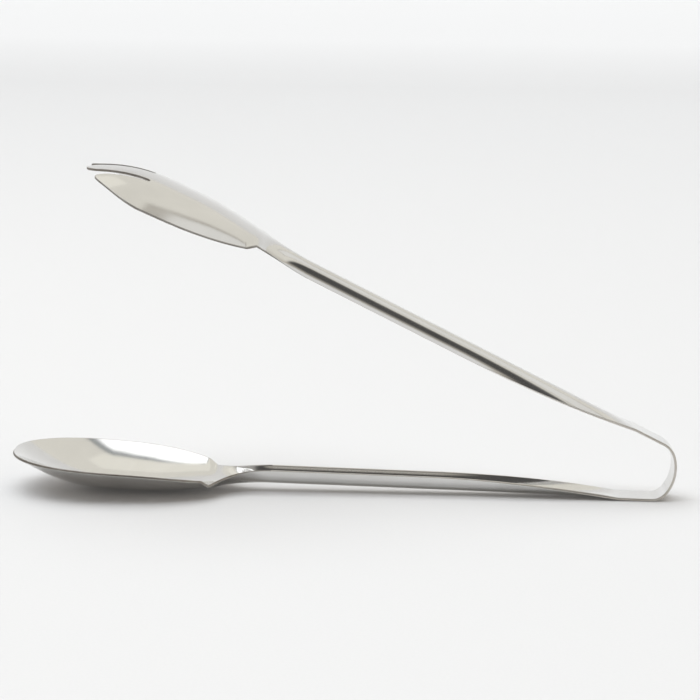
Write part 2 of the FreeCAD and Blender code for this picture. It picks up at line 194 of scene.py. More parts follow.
# %% Four numbers for every place along the strip
def smooth(value, low, high):
    """Smooth step: 3 p squared minus 2 p cubed, with p the clipped share of the way."""
    part = np.clip((value - low) / (high - low), 0.0, 1.0)
    return part * part * (3 - 2 * part)


def oval(from_tip):
    """Half-width of the bowl: (1 - share^power)^(1/power), times half the width, on either side."""
    offset = from_tip - NOSE
    share = np.where(offset < 0, -offset / NOSE, offset / TAIL)
    power = np.where(offset < 0, NOSE_POWER, TAIL_POWER)
    return bowl_half * np.maximum(1 - share ** power, 0.0) ** (1 / power)


def rim(from_tip):
    """Height of the rim: it falls in a line from the tip, then droops with the square of the way."""
    droop = np.maximum(from_tip - DROOP_START, 0) / (SHOULDER - DROOP_START)
    return CHANNEL_DEPTH + RIM_RISE - RIM_FALL * from_tip - RIM_DROOP * droop ** 2


def belly(from_tip):
    """Height of the bottom: the rim less a power of the width, then a parabola, then a smooth rise."""
    start = rim(NOSE) - BOWL_DEPTH
    lowest = start - RIM_FALL * BELLY_RUN / 2
    lowest_at = NOSE + BELLY_RUN
    front = rim(from_tip) - BOWL_DEPTH * (oval(from_tip) / bowl_half) ** BELLY_POWER
    middle = lowest + (start - lowest) * ((lowest_at - from_tip) / BELLY_RUN) ** 2
    rear = lowest + (half_sheet - lowest) * smooth(from_tip, lowest_at, neck_end)
    return np.where(from_tip <= NOSE, front, np.where(from_tip <= lowest_at, middle, rear))


def bowl_values(from_tip):
    """The four numbers on dish, shoulder and neck."""
    width_there, height_there = oval(SHOULDER), rim(SHOULDER)
    corner_width, corner_height = width_there - SHOULDER_STEP, height_there - SHOULDER_DIP
    step = np.clip((from_tip - SHOULDER) / SHOULDER_RUN, 0, 1)
    part = np.clip((from_tip - corner_at) / NECK_LENGTH, 0, 1)
    top = half_sheet + stem_height
    neck_width = stem_half + (corner_width - stem_half) * (1 - part) ** NECK_POWER
    neck_height = top + (corner_height - top) * (1 - part) ** LIFT_POWER
    width = np.where(from_tip > corner_at, neck_width, width_there - SHOULDER_STEP * step)
    height = np.where(from_tip > corner_at, neck_height, height_there - SHOULDER_DIP * step)
    on_dish = from_tip <= SHOULDER
    dish_width = oval(np.clip(from_tip, 0.0, SHOULDER))
    return (np.where(on_dish, dish_width, width), belly(np.clip(from_tip, 0.0, neck_end)),
            np.where(on_dish, rim(from_tip), height), CHANNEL_WALL * smooth(part, 0, 1))


def leaf_values(from_bow):
    """The four numbers where the flat leaf rises into the channel."""
    part = np.clip((from_bow - LEAF) / (CHANNEL_START - LEAF), 0.0, 1.0)
    rise = smooth(part ** RISE_POWER, 0.0, 1.0)
    narrowing = smooth(from_bow, NARROW_START, NARROW_END)
    return (leaf_half + (stem_half - leaf_half) * narrowing, np.full_like(rise, half_sheet),
            half_sheet + stem_height * rise, CHANNEL_WALL * rise)


# %% [markdown]
# ## One surface for the whole strip
# A point of the strip is given by two numbers. The first, s, runs along the middle line: it is
# negative on the lower arm, 0 where the bow starts, and larger than the bow's length on the upper
# arm. The second, run, is the distance sideways, measured on the steel. So the strip is a flat
# ribbon in (s, run), and one function bends it into its place in space.

# %% From the ribbon to space
def arm_values(s):
    """The four numbers for any s, and the distance from the bow."""
    from_bow = np.where(s < 0, -s, s - bow_length)
    reach = np.where(s < 0, SPOON_REACH, FORK_REACH)
    from_tip = reach - from_bow
    near, far = leaf_values(np.clip(from_bow, 0.0, None)), bowl_values(from_tip)
    return [np.where(from_tip > neck_end, one, other) for one, other in zip(near, far)], from_bow


def section_shape(values):
    """Radius and angle of the round bottom, from half-width w, depth d and wall f.

    r = (w*w + d*d - f*f) / 2d, and the angle is atan(w / (r - d)) - atan(f / r)."""
    width, bottom, edge, wall = values
    depth = np.maximum(edge - bottom, 1e-4)
    radius = (width ** 2 + depth ** 2 - wall ** 2) / (2 * depth)
    return radius, np.arctan2(width, radius - depth) - np.arctan2(wall, radius)


def half_run(s):
    """Distance on the steel from the centre line to the edge."""
    values = arm_values(s)[0]
    radius, angle = section_shape(values)
    return radius * angle + values[3]


def on_bow(s):
    """Points along the bow: three arcs in a row, each with its own radius."""
    point, heading, passed = lower[0] + lower[2] * half_sheet, -tilt, 0.0
    places = np.zeros((*np.shape(s), 3))
    for (radius, turn), length in zip(bends, bend_lengths):
        angle = heading + np.maximum(s - passed, 0.0) / radius
        centre = point + radius * np.array([-math.sin(heading), 0, math.cos(heading)])
        inward = np.stack([-np.sin(angle), np.zeros_like(angle), np.cos(angle)], -1)
        places = np.where((s >= passed)[..., None], centre - radius * inward, places)
        heading += math.radians(turn)
        passed += length
        point = centre - radius * np.array([-math.sin(heading), 0, math.cos(heading)])
    return places


def strip(s, run):
    """Middle of the sheet at (s, run).

    On an arm it is foot + from_bow * along + y * across + z * inward, and on the bow it lies on an arc."""
    values, from_bow = arm_values(s)
    radius, angle = section_shape(values)
    turn = np.minimum(np.abs(run) / radius, angle)
    beyond = np.abs(run) - radius * turn
    y = np.sign(run) * (radius * np.sin(turn) + beyond * np.cos(turn))
    z = values[1] + radius * (1 - np.cos(turn)) + beyond * np.sin(turn)
    on_lower, on_upper = (foot + from_bow[..., None] * along + z[..., None] * inward
                          for foot, along, inward in (lower, upper))
    space = np.where((s < 0)[..., None], on_lower,
                     np.where((s > bow_length)[..., None], on_upper, on_bow(s)))
    space[..., 1] = np.where((s < 0) | (s > bow_length), y, run)
    return space


def normals_of(s, run, step=0.02):
    """Unit normal towards the inside: slope along s crossed with slope along run."""
    along = strip(s + step, run) - strip(s - step, run)
    across = strip(s, run + step) - strip(s, run - step)
    return unit(np.cross(along, across))


FLARE = 0.17                      # slope by which the walls of the lower stem lean outwards
FLARE_FADE = 12.0                 # stretch before the neck's end over which that lean begins
SOFT_NECK = 0.5                   # how much flatter the polish leaves the hollow of the lower neck
CREASE = 1.6                      # how far a pressed crease is rounded, along the strip
# Distances from the tip between which the crease and the soft neck fade in and out.
CREASE_IN, CREASE_OUT = (67.0, 72.0), (79.0, 86.0)
NECK_IN, NECK_OUT = (corner_at - 1.0, corner_at + 6.0), (88.0, neck_end)


def shown_normals(s, run):
    """Normals that the polish shows: the weighted mean over s -+ reach, plus share * inward.

    The reach is only above 0 round the shoulder, where the press leaves a soft crease. The share is
    flare * (1 - upright)^2 on the lower stem, and a constant in the lower neck."""
    from_tip = np.where(s < 0, SPOON_REACH + s, FORK_REACH + bow_length - s)
    reach = CREASE * smooth(from_tip, *CREASE_IN) * (1 - smooth(from_tip, *CREASE_OUT))
    side = run / half_run(s)
    mean = sum(weight * normals_of(s + reach * offset, side * half_run(s + reach * offset))
               for offset, weight in zip((-1.0, -0.5, 0.0, 0.5, 1.0), (1, 2, 3, 2, 1)))
    mean = unit(mean)
    inward = np.where((s < 0)[..., None], lower[2], upper[2])
    upright = np.clip((mean * inward).sum(-1), 0.0, 1.0)
    on_stem = (s < 0) * smooth(from_tip, neck_end - FLARE_FADE, neck_end)
    on_neck = (s < 0) * smooth(from_tip, *NECK_IN) * (1 - smooth(from_tip, *NECK_OUT))
    return unit(mean + (FLARE * on_stem * (1 - upright) ** 2 + SOFT_NECK * on_neck)[..., None] * inward)


ends = strip(np.array([-SPOON_REACH + TIP_FLAT, bow_length + FORK_REACH - OUTER_TIP]), np.zeros(2))
print("spoon tip", ends[0].round(2), "level of the outer tines", ends[1].round(2))

# %% [markdown]
# ## Sheet with rounded edges
# Sheet steel has two faces and a narrow edge. Each piece starts as a flat net of points in the
# ribbon. The net is lifted half a sheet to both sides, and along its free boundary a rounded edge
# joins the two faces, as tumbling and polishing leave it. Where one stretch of strip meets the next,
# the net ends in a flat cut instead. The normals come from the surface's own formula, so the
# reflections run on from piece to piece without a seam.

# %% From a net to a sheet
EDGE = 0.34                       # how far the rounded edge stands out from the two flat faces
EDGE_STEPS = 8
EDGE_POWER = 2.6                  # 2 would be a half circle, more is squarer
SAME_POINT = 1e-5                 # points of two nets that are closer than this are one


def ladder(left, right, shares):
    """Net between two lines of points: point = left + (right - left) * share."""
    grid = left[:, None] + (right - left)[:, None] * shares[None, :, None]
    return grid.reshape(-1, 2), grid_faces(*grid.shape[:2])


def welded(nets):
    """Nets joined where their points agree. Faces that lost an edge at a pole become triangles."""
    points = np.concatenate([net[0] for net in nets])
    offsets = np.cumsum([0] + [len(net[0]) for net in nets[:-1]])
    faces = np.concatenate([net[1] + offset for net, offset in zip(nets, offsets)])
    first, inverse = np.unique(np.round(points / SAME_POINT), axis=0, return_index=True,
                               return_inverse=True)[1:]
    faces = inverse.reshape(-1)[faces]
    same = faces == np.roll(faces, -1, axis=1)
    whole = ~same.any(axis=1)
    halves = [np.delete(face, np.argmax(flags)) for face, flags in zip(faces[~whole], same[~whole])]
    triangles = np.array(halves, int).reshape(-1, 3)
    return points[first], faces[whole], triangles


def border_of(quads, triangles, count):
    """Edges that only one face has, in that face's direction. count is the number of points."""
    edges = np.concatenate([np.stack([faces, np.roll(faces, -1, axis=1)], -1).reshape(-1, 2)
                            for faces in (quads, triangles)])
    codes = edges[:, 0] * count + edges[:, 1]
    return edges[~np.isin(codes, edges[:, 1] * count + edges[:, 0])]


def outward_at(border, middle, normal):
    """Border points and their outward vectors.

    The vector is edge x normal, summed over the point's two edges and made square to the normal."""
    outward = np.zeros_like(middle)
    pushes = unit(np.cross(middle[border[:, 1]] - middle[border[:, 0]], normal[border[:, 0]]))
    for column in (0, 1):
        np.add.at(outward, border[:, column], pushes)
    points = np.unique(border)
    outward, upwards = outward[points], normal[points]
    return points, unit(outward - upwards * (outward * upwards).sum(1)[:, None])


def rounded_edge(middle, normal, shown, outward):
    """Rings of points and normals round an edge, and how far each ring stands out, from 0 to 1.

    A point is middle + edge * cos^k * outward + half sheet * sin^k * normal, with k = 2 / power."""
    angles = np.linspace(math.pi / 2, -math.pi / 2, EDGE_STEPS + 1)
    bulge = np.cos(angles).clip(0) ** (2 / EDGE_POWER)
    rise = np.abs(np.sin(angles)) ** (2 / EDGE_POWER) * np.sign(np.sin(angles))
    points = (middle[None] + (EDGE * bulge)[:, None, None] * outward[None]
              + (half_sheet * rise)[:, None, None] * normal[None])
    slope_out = bulge ** (EDGE_POWER - 1) / EDGE
    slope_up = np.sign(rise) * np.abs(rise) ** (EDGE_POWER - 1) / half_sheet
    normals = slope_out[:, None, None] * outward[None] + slope_up[:, None, None] * shown[None]
    return points, unit(normals), bulge


def sheet_piece(name, nets, cuts):
    """Mesh of a stretch of strip from nets in (s, run). cuts are the values of s where it is cut off.

    A face point is middle + half sheet * normal, on either side."""
    net, quads, triangles = welded(nets)
    s, run = net[:, 0], net[:, 1]
    middle, normal, shown = strip(s, run), normals_of(s, run), shown_normals(s, run)
    corner = middle[quads[0]]
    if np.dot(np.cross(corner[1] - corner[0], corner[3] - corner[0]), normal[quads[0, 0]]) < 0:
        quads, triangles = quads[:, ::-1], triangles[:, ::-1]
    border = border_of(quads, triangles, len(net))
    at_cut = np.isin(np.round(s, 6), np.round(cuts, 6))
    is_cut = at_cut[border].all(axis=1)
    free, cut = border[~is_cut], border[is_cut]
    rim_points, outward = outward_at(free, middle, normal)
    ring, ring_normal, bulge = rounded_edge(middle[rim_points], normal[rim_points], shown[rim_points],
                                            outward)
    count, rings = len(net), len(rim_points)
    places = np.concatenate([middle + half_sheet * normal, middle - half_sheet * normal,
                             ring[1:-1].reshape(-1, 3)]) * MM
    shading = np.concatenate([shown, -shown, ring_normal[1:-1].reshape(-1, 3)])
    number = np.zeros((EDGE_STEPS + 1, count), int)
    number[0], number[-1] = np.arange(count), np.arange(count) + count
    number[1:-1, rim_points] = 2 * count + np.arange((EDGE_STEPS - 1) * rings).reshape(-1, rings)
    start, end = free[:, 0], free[:, 1]
    walls = np.stack([number[:-1, end], number[:-1, start], number[1:, start], number[1:, end]], -1)
    start, end = cut[:, 0], cut[:, 1]
    caps = np.stack([number[0, end], number[0, start], number[-1, start], number[-1, end]], -1)
    corners = [number[:, spot] for spot in free[:, 1] if at_cut[spot]]
    corners += [number[::-1, spot] for spot in free[:, 0] if at_cut[spot]]
    groups = (quads, triangles, quads[:, ::-1] + count, triangles[:, ::-1] + count,
              walls.reshape(-1, 4), caps, corners)
    faces = [[int(spot) for spot in face] for group in groups for face in group]
    mesh = bpy.data.meshes.new(name)
    mesh.from_pydata(places.tolist(), [], faces)
    mesh.shade_smooth()
    mesh.normals_split_custom_set_from_vertices(shading.tolist())
    ribbon = np.concatenate([net, net, np.tile(net[rim_points], (EDGE_STEPS - 1, 1))])
    layer = mesh.uv_layers.new(name="ribbon")
    corner_points = np.empty(len(mesh.loops), int)
    mesh.loops.foreach_get("vertex_index", corner_points)
    layer.data.foreach_set("uv", (ribbon[corner_points] * MM).ravel())
    on_edge = mesh.attributes.new("edge", "FLOAT", "POINT")
    on_edge.data.foreach_set("value", np.concatenate([np.zeros(2 * count), np.repeat(bulge[1:-1], rings)]))
    piece = added(name, mesh)
    low, high = places.min(0) / MM, places.max(0) / MM
    print(name, len(faces), "faces, box mm", low.round(2), high.round(2))
    return piece


# %% [markdown]
# ## Straight stretches: leaves, stems and the bow
# These stretches have two free edges and a cut at either end. Their net is a ladder between the two
# edges, moved in by the width of the rounded edge. The bow is cut into a heel, a back and a crown in
# the middle of its stiff corners, so that each of them spans one place where the real strip bends.

# %% The straight stretches
COLUMNS = 41
CROWDING = 0.35                   # 0 spaces the columns evenly, 1 crowds them at both edges
SHARES = ((1 - np.cos(np.linspace(0, math.pi, COLUMNS))) / 2 * CROWDING
          + np.linspace(0, 1, COLUMNS) * (1 - CROWDING))


def stretch(name, start, stop, spacing):
    """Stretch of strip from s = start to s = stop, with rows about spacing apart."""
    s = np.linspace(start, stop, max(int(round((stop - start) / spacing)), 1) + 1)
    side = half_run(s) - EDGE
    left, right = np.stack([s, -side], -1), np.stack([s, side], -1)
    return sheet_piece(name, [ladder(left, right, SHARES)], [start, stop])


SOFT_ZONE = 24.0                  # how far from the bow each leaf still bends
heel_middle = bend_lengths[0] / 2
crown_middle = bow_length - bend_lengths[2] / 2
upper_neck = bow_length + FORK_REACH - neck_end
spoon_stem = stretch("spoon_stem_sheet", -(SPOON_REACH - neck_end), -NARROW_END, 3.0)
spoon_leaf = stretch("spoon_leaf_sheet", -NARROW_END, -SOFT_ZONE, 1.0)
heel = stretch("bow_heel_sheet", -SOFT_ZONE, heel_middle, 0.4)
back = stretch("bow_back_sheet", heel_middle, crown_middle, 0.25)
crown = stretch("bow_crown_sheet", crown_middle, bow_length + SOFT_ZONE, 0.4)
fork_leaf = stretch("fork_leaf_sheet", bow_length + SOFT_ZONE, bow_length + NARROW_END, 1.0)
fork_stem = stretch("fork_stem_sheet", bow_length + NARROW_END, upper_neck, 3.0)

# %% [markdown]
# ## The spoon
# The spoon's outline is an oval whose two ends have their own fullness, then a small step at the
# shoulder, then a neck that narrows into the stem. The rows of its net lie closer at the tip, where
# the outline turns fast, and at the shoulder, where the press leaves a crease.

# %% The outline, moved in by the edge
def rows_behind(start):
    """Distances from the tip, from start to the end of the neck, denser at the shoulder's creases."""
    dish = np.linspace(start, SHOULDER - 0.6, 44)
    step = np.array([SHOULDER - 0.25, SHOULDER, SHOULDER + 0.3, SHOULDER + 1.0, corner_at - 0.9,
                     corner_at - 0.3, corner_at])
    neck = corner_at + NECK_LENGTH * np.linspace(0, 1, 31)[1:] ** 1.5
    return np.concatenate([dish, step, neck])


def moved_in(line, distance):
    """Line of points moved to its right-hand side, each across the line through its neighbours."""
    way = np.gradient(line, axis=0)
    across = unit(np.stack([way[:, 1], -way[:, 0]], -1))
    across[[0, -1]] = np.round(across[[0, -1]])
    return line + across * distance


TIP_START = TIP_FLAT + 0.06       # just behind the flat that ends the solid
angles = np.linspace(0, math.pi / 2, 41)[:-1]
front_rows = TIP_START + (NOSE - TIP_START) * (1 - np.cos(angles) ** (2 / NOSE_POWER))
from_tip = np.concatenate([front_rows, rows_behind(NOSE)])
spoon_s = from_tip - SPOON_REACH
side = half_run(spoon_s)
side[0] = 0.0
outline = np.concatenate([np.stack([spoon_s, -side], -1)[::-1], np.stack([spoon_s, side], -1)[1:]])
inset = moved_in(outline, EDGE)
rows = len(spoon_s)
spoon = sheet_piece("spoon_bowl_sheet", [ladder(inset[:rows][::-1], inset[rows - 1:], SHARES)],
                    [spoon_s[-1]])

# %% [markdown]
# ## The fork
# The fork is the same oval with three slots punched out of it, which leaves four tines with rounded
# ends. The slots are cut straight down in plan, so the outline is drawn in plan first and then
# carried onto the ribbon. One long line runs round the whole fork: up one side, round every tine and
# every slot, and down the other side. Four nets fill the tines, and a fifth fills the body.

# %% The fork's outline in plan
TINES = 4
slots = SLOT_PITCH * (np.arange(TINES - 1) - (TINES - 2) / 2)
noses = np.array([slots[0] - NOSE_FROM_SLOT, *((slots[1:] + slots[:-1]) / 2), slots[-1] + NOSE_FROM_SLOT])
root_half = SLOT_ROOT_WIDTH / 2
root_level = SLOT_ROOT - root_half
ROOT_STEPS = 8
ROOT_TO_BODY = 1.8                # from the slots' straight sides to the first row right across


def slot_half(from_tip):
    """Half-width of a slot: it grows in a straight line from root to mouth."""
    part = (SLOT_ROOT - from_tip) / (SLOT_ROOT - INNER_TIP)
    return (SLOT_ROOT_WIDTH + (SLOT_MOUTH_WIDTH - SLOT_ROOT_WIDTH) * part) / 2


def tine_side(number, sense, from_tip, tip):
    """y of one side of a tine: a quarter ellipse from its nose, then the slot's side or the oval.

    y = nose + (side - nose) * sqrt(1 - (1 - p)^2), with p the share of the rounded length."""
    outside = (number == 0 and sense < 0) or (number == TINES - 1 and sense > 0)
    if outside:
        side_y, length = sense * oval(from_tip), FLANK_ROUND
    else:
        side_y, length = slots[number - (sense < 0)] - sense * slot_half(from_tip), TIP_ROUND
    part = np.clip((from_tip - tip) / length, 0, 1)
    return noses[number] + (side_y - noses[number]) * np.sqrt(1 - (1 - part) ** 2)


parts = []
body_rows = rows_behind(root_level + ROOT_TO_BODY)
for number in range(TINES):
    tip = OUTER_TIP if number in (0, TINES - 1) else INNER_TIP
    round_rows = tip + TIP_ROUND * (1 - np.cos(np.linspace(0, math.pi / 2, 17)))
    levels = np.concatenate([round_rows, np.linspace(tip + TIP_ROUND, root_level, 26)[1:]])
    left = np.stack([levels, tine_side(number, -1, levels, tip)], -1)[::-1]
    right = np.stack([levels, tine_side(number, 1, levels, tip)], -1)[1:]
    parts += [left, right]
    if number < TINES - 1:
        turn = np.linspace(-math.pi / 2, math.pi / 2, ROOT_STEPS + 1)[1:-1]
        parts.append(np.stack([root_level + root_half * np.cos(turn),
                               slots[number] + root_half * np.sin(turn)], -1))
plan = np.concatenate(parts)
plan_s = bow_length + FORK_REACH - plan[:, 0]
radius = section_shape(arm_values(plan_s)[0])[0]
head_line = np.stack([plan_s, radius * np.arcsin(plan[:, 1] / radius)], -1)
side_s = bow_length + FORK_REACH - body_rows
side_run = half_run(side_s)
fork_line = np.concatenate([np.stack([side_s, -side_run], -1)[::-1], head_line,
                            np.stack([side_s, side_run], -1)])
fork_inset = moved_in(fork_line, -EDGE)
print("points on the fork's outline", len(fork_line))

# %% The nets of tines and body
TINE_SHARES = np.linspace(0, 1, 17)
steps = np.cumsum([0] + [len(part) for part in parts]) + len(body_rows)
nets, first_row = [], []
for number in range(TINES):
    start, tip_at, stop = steps[3 * number], steps[3 * number + 1] - 1, steps[3 * number + 2] - 1
    left, right = fork_inset[start:tip_at + 1][::-1], fork_inset[tip_at:stop + 1]
    net = ladder(left, right, TINE_SHARES)
    nets.append(net)
    first_row.append(net[0][-len(TINE_SHARES):])
    if number < TINES - 1:
        first_row.append(fork_inset[steps[3 * number + 2]:steps[3 * number + 3]])
first_row = np.concatenate(first_row)
shares = (first_row[:, 1] - first_row[0, 1]) / (first_row[-1, 1] - first_row[0, 1])
left, right = fork_inset[:len(body_rows)][::-1], fork_inset[-len(body_rows):]
body = np.concatenate([first_row, ladder(left, right, shares)[0]])
nets.append((body, grid_faces(len(body_rows) + 1, len(first_row))))
fork = sheet_piece("fork_head_sheet", nets, [upper_neck])

# %% [markdown]
# ## Which piece moves with what
# Squeezing the tongs bends the strip at three places: at both leaves and round the back. The spoon
# side stays on the table and the fork side comes down, so the spoon's pieces ride on the lower arm and
# the fork's on the upper arm. In the real strip the heel, back and crown bend between their
# neighbours, each across one hinge; here they ride on no body and stay where they are.

# %% Riding on the bodies
for piece, body, nodes in ((spoon, "lower_arm", ["spoon_bowl"]), (spoon_stem, "lower_arm", ["spoon_stem"]),
                           (spoon_leaf, "lower_arm", ["spoon_leaf"]), (fork_leaf, "upper_arm", ["fork_leaf"]),
                           (fork_stem, "upper_arm", ["fork_stem"]), (fork, "upper_arm", ["fork_head"])):
    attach(piece, body)
    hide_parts(*nodes)
marks = strip(np.array([-SOFT_ZONE, 0.0, bend_lengths[0], bow_length - bend_lengths[2], bow_length,
                        bow_length + SOFT_ZONE]), np.zeros(6)) * MM
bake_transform(heel)
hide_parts("bow_lower", "spoon_leaf")
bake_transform(back)
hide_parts("bow_lower", "bow_upper")
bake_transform(crown)
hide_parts("bow_upper", "fork_leaf")
steel_pieces = [spoon, spoon_stem, spoon_leaf, heel, back, crown, fork_leaf, fork_stem, fork]

# %% [markdown]
# ## Polished steel
# Stainless sheet is rolled, pressed and then polished on a wheel. It mirrors its surroundings
# softly: fine lines run along the strip, handling leaves faint smudges, and the pressed metal is not
# perfectly even. All of that is small, so it goes into roughness, a little colour and a shallow bump.
# The rounded edges are worn rougher, and they get a darker, browner colour, which is painted shade.

# %% Shared effects
def socket_group(name, inputs, outputs):
    """Empty shader group with named number inputs and named outputs."""
    group = bpy.data.node_groups.new(name, "ShaderNodeTree")
    for label, value in inputs:
        socket = group.interface.new_socket(label, in_out="INPUT", socket_type="NodeSocketFloat")
        socket.default_value = value
    for label, kind in outputs:
        group.interface.new_socket(label, in_out="OUTPUT", socket_type=kind)
    return group, group.nodes.new("NodeGroupInput"), group.nodes.new("NodeGroupOutput")


def node(tree, kind, place, **settings):
    """New node at a place in the editor, with its settings and with inputs given by name."""
    made = tree.nodes.new(kind)
    made.location = place
    for key, value in settings.items():
        if key in made.inputs:
            made.inputs[key].default_value = value
        else:
            setattr(made, key, value)
    return made


def join(tree, source, target):
    """Link between two sockets."""
    tree.links.new(source, target)


group, entry, leave = socket_group("polish_marks", [("Length", 3.0), ("Fineness", 1400.0), ("Seed", 0.0)],
                                   [("Lines", "NodeSocketFloat"), ("Smudges", "NodeSocketFloat")])
uv = node(group, "ShaderNodeUVMap", (-800, 0), uv_map="ribbon")
split = node(group, "ShaderNodeSeparateXYZ", (-620, 0))
long_way = node(group, "ShaderNodeMath", (-440, 100), operation="MULTIPLY")
wide_way = node(group, "ShaderNodeMath", (-440, -60), operation="MULTIPLY")
stretched = node(group, "ShaderNodeCombineXYZ", (-260, 0))
lines = node(group, "ShaderNodeTexNoise", (-80, 0), Scale=1.0, Detail=3.0, Roughness=0.65)
spots = node(group, "ShaderNodeTexNoise", (-80, -260), Scale=38.0, Detail=5.0, Roughness=0.6, Distortion=0.6)
join(group, uv.outputs[0], split.inputs[0])
join(group, split.outputs[0], long_way.inputs[0])
join(group, entry.outputs["Length"], long_way.inputs[1])
join(group, split.outputs[1], wide_way.inputs[0])
join(group, entry.outputs["Fineness"], wide_way.inputs[1])
join(group, long_way.outputs[0], stretched.inputs[0])
join(group, wide_way.outputs[0], stretched.inputs[1])
join(group, entry.outputs["Seed"], stretched.inputs[2])
join(group, stretched.outputs[0], lines.inputs["Vector"])
join(group, uv.outputs[0], spots.inputs["Vector"])
join(group, lines.outputs[0], leave.inputs["Lines"])
join(group, spots.outputs[0], leave.inputs["Smudges"])
marks_group = group

# The mask of the rounded edges, varied by noise: it makes the worn edges rougher, and it also paints shade
# onto them as a darker, browner colour.
group, entry, leave = socket_group("worn_and_shaded_edge", [("Strength", 1.0)], [("Mask", "NodeSocketFloat")])
edge = node(group, "ShaderNodeAttribute", (-500, 0), attribute_name="edge")
place = node(group, "ShaderNodeTexCoord", (-700, -200))
edge_wear_and_shade_noise = node(group, "ShaderNodeTexNoise", (-500, -200), Scale=260.0, Detail=4.0, Roughness=0.6)
vary = node(group, "ShaderNodeMapRange", (-320, -200))
vary.inputs["To Min"].default_value, vary.inputs["To Max"].default_value = 0.55, 1.15
mix = node(group, "ShaderNodeMath", (-140, 0), operation="MULTIPLY")
strong = node(group, "ShaderNodeMath", (20, 0), operation="MULTIPLY", use_clamp=True)
join(group, place.outputs["Object"], edge_wear_and_shade_noise.inputs["Vector"])
join(group, edge_wear_and_shade_noise.outputs[0], vary.inputs["Value"])
join(group, edge.outputs["Fac"], mix.inputs[0])
join(group, vary.outputs[0], mix.inputs[1])
join(group, mix.outputs[0], strong.inputs[0])
join(group, entry.outputs["Strength"], strong.inputs[1])
join(group, strong.outputs[0], leave.inputs["Mask"])
worn_shaded_edge_group = group
print("shared effects:", [item.name for item in bpy.data.node_groups])


# %% The steel itself
DULL_STEEL, BRIGHT_STEEL = (0.685, 0.68, 0.665), (0.76, 0.755, 0.74)
EDGE_ROUGHNESS = 0.34             # added to the roughness where the edge is worn
SMUDGE_HEIGHT = 0.6               # height of the smudges, as a share of the lines' height


def polished_steel(name, length, fineness, base_rough, line_depth, worn_shaded_edge_colour):
    """Metallic surface: marks vary its roughness, colour and bump; its worn edges are rougher and get painted
    shade as a darker colour.
    """
    material = bpy.data.materials.new(name)
    material.use_nodes = True
    tree = material.node_tree
    surface = tree.nodes["Principled BSDF"]
    surface.inputs["Metallic"].default_value = 1.0
    marks_node = node(tree, "ShaderNodeGroup", (-1100, 0), node_tree=marks_group)
    marks_node.inputs["Length"].default_value = length
    marks_node.inputs["Fineness"].default_value = fineness
    worn_shaded_edge_node = node(tree, "ShaderNodeGroup", (-1100, -300), node_tree=worn_shaded_edge_group)
    tint = node(tree, "ShaderNodeValToRGB", (-860, 200))
    set_stops(tint, [(0.25, DULL_STEEL), (0.75, BRIGHT_STEEL)])
    # Painted shade: the edge colour is mixed in along the rounded edges.
    shaded_edge_tint = node(tree, "ShaderNodeMix", (-560, 200), data_type="RGBA")
    shaded_edge_tint.inputs["B"].default_value = (*worn_shaded_edge_colour, 1)
    rough = node(tree, "ShaderNodeMapRange", (-860, -60))
    rough.inputs["To Min"].default_value = base_rough - 0.05
    rough.inputs["To Max"].default_value = base_rough + 0.07
    rough_edge = node(tree, "ShaderNodeMath", (-560, -60), operation="MULTIPLY_ADD")
    rough_edge.inputs[1].default_value = EDGE_ROUGHNESS
    height = node(tree, "ShaderNodeMath", (-860, -320), operation="MULTIPLY_ADD")
    height.inputs[1].default_value = SMUDGE_HEIGHT
    bump = node(tree, "ShaderNodeBump", (-560, -320), Strength=line_depth, Distance=0.00002)
    join(tree, marks_node.outputs["Smudges"], tint.inputs[0])
    join(tree, worn_shaded_edge_node.outputs["Mask"], shaded_edge_tint.inputs["Factor"])
    join(tree, tint.outputs[0], shaded_edge_tint.inputs["A"])
    join(tree, shaded_edge_tint.outputs["Result"], surface.inputs["Base Color"])
    join(tree, marks_node.outputs["Smudges"], rough.inputs["Value"])
    join(tree, worn_shaded_edge_node.outputs["Mask"], rough_edge.inputs[0])
    join(tree, rough.outputs[0], rough_edge.inputs[2])
    join(tree, rough_edge.outputs[0], surface.inputs["Roughness"])
    join(tree, marks_node.outputs["Smudges"], height.inputs[0])
    join(tree, marks_node.outputs["Lines"], height.inputs[2])
    join(tree, height.outputs[0], bump.inputs["Height"])
    join(tree, bump.outputs[0], surface.inputs["Normal"])
    return material


# The edge colours are painted shade: a dark line along the rims of the spoon and fork, and a lighter brown
# one on the strip.
strip_steel = polished_steel("strip_steel", length=14.0, fineness=2600.0, base_rough=0.14, line_depth=0.10,
                             worn_shaded_edge_colour=(0.58, 0.54, 0.49))
bowl_steel = polished_steel("bowl_steel", length=60.0, fineness=1300.0, base_rough=0.115, line_depth=0.10,
                            worn_shaded_edge_colour=(0.17, 0.145, 0.12))
for piece in steel_pieces:
    piece.data.materials.append(bowl_steel if piece in (spoon, fork) else strip_steel)

# %% [markdown]
# ## Floor and backdrop
# The tongs lie on a plain pale table top that bends up into the backdrop far behind. The paper has
# the faintest grain, and it glows with painted light that grows with its height, so the floor looks a
# little warmer and darker than the backdrop.

# %% Floor
def stage_piece(name, grid):
    """Mesh from a grid of points, shown as part of the stage."""
    mesh = bpy.data.meshes.new(name)
    mesh.from_pydata(grid.reshape(-1, 3).tolist(), [], grid_faces(*grid.shape[:2]).tolist())
    mesh.shade_smooth()
    thing = added(name, mesh)
    return thing


